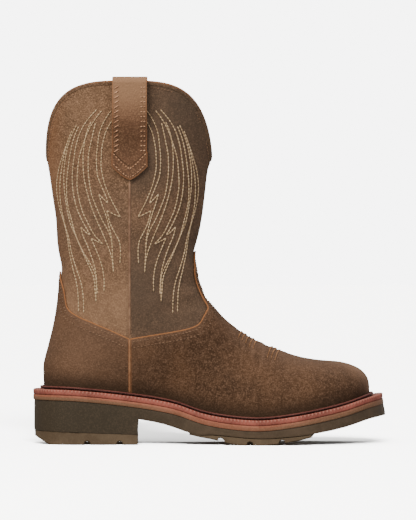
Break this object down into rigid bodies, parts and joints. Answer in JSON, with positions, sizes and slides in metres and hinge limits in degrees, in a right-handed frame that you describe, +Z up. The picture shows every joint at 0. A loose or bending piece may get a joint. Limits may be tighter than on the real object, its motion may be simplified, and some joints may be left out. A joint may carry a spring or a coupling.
{
  "type": "western work boot",
  "caption": "Pull-on western work boot with a wide square toe, scalloped collar, pull straps, stitched welt and heeled rubber sole.",
  "frame": {"origin": "on the floor under the heel tread, midway between its two grooves", "axes": "+X towards the toe, +Y towards the medial side, +Z up from the floor to the collar"},
  "size_m": [0.3106, 0.1195, 0.326],
  "materials": {
    "oiled_leather": "distressed oiled leather with a short nap",
    "strap_leather": "smooth oiled leather",
    "binding_leather": "raw-edged leather",
    "insole_leather": "matte lining leather",
    "red_rubber": "matte stitched welt",
    "burgundy_rubber": "satin",
    "salmon_rubber": "matte",
    "dark_rubber": "matte moulded",
    "tread_rubber": "matte moulded"
  },
  "bodies": {
    "root": {"outsole": "dark_rubber", "heel_tread": "tread_rubber", "forefoot_tread": "tread_rubber", "midsole": "salmon_rubber", "welt": "red_rubber", "storm_bead": "burgundy_rubber", "insole": "insole_leather", "upper": "oiled_leather", "vamp": "oiled_leather", "heel_counter": "oiled_leather", "topline_binding": "binding_leather", "side_seam_lateral": "binding_leather", "side_seam_medial": "binding_leather", "pull_strap_lateral": "strap_leather", "pull_strap_medial": "strap_leather"}
  },
  "joints": []
}
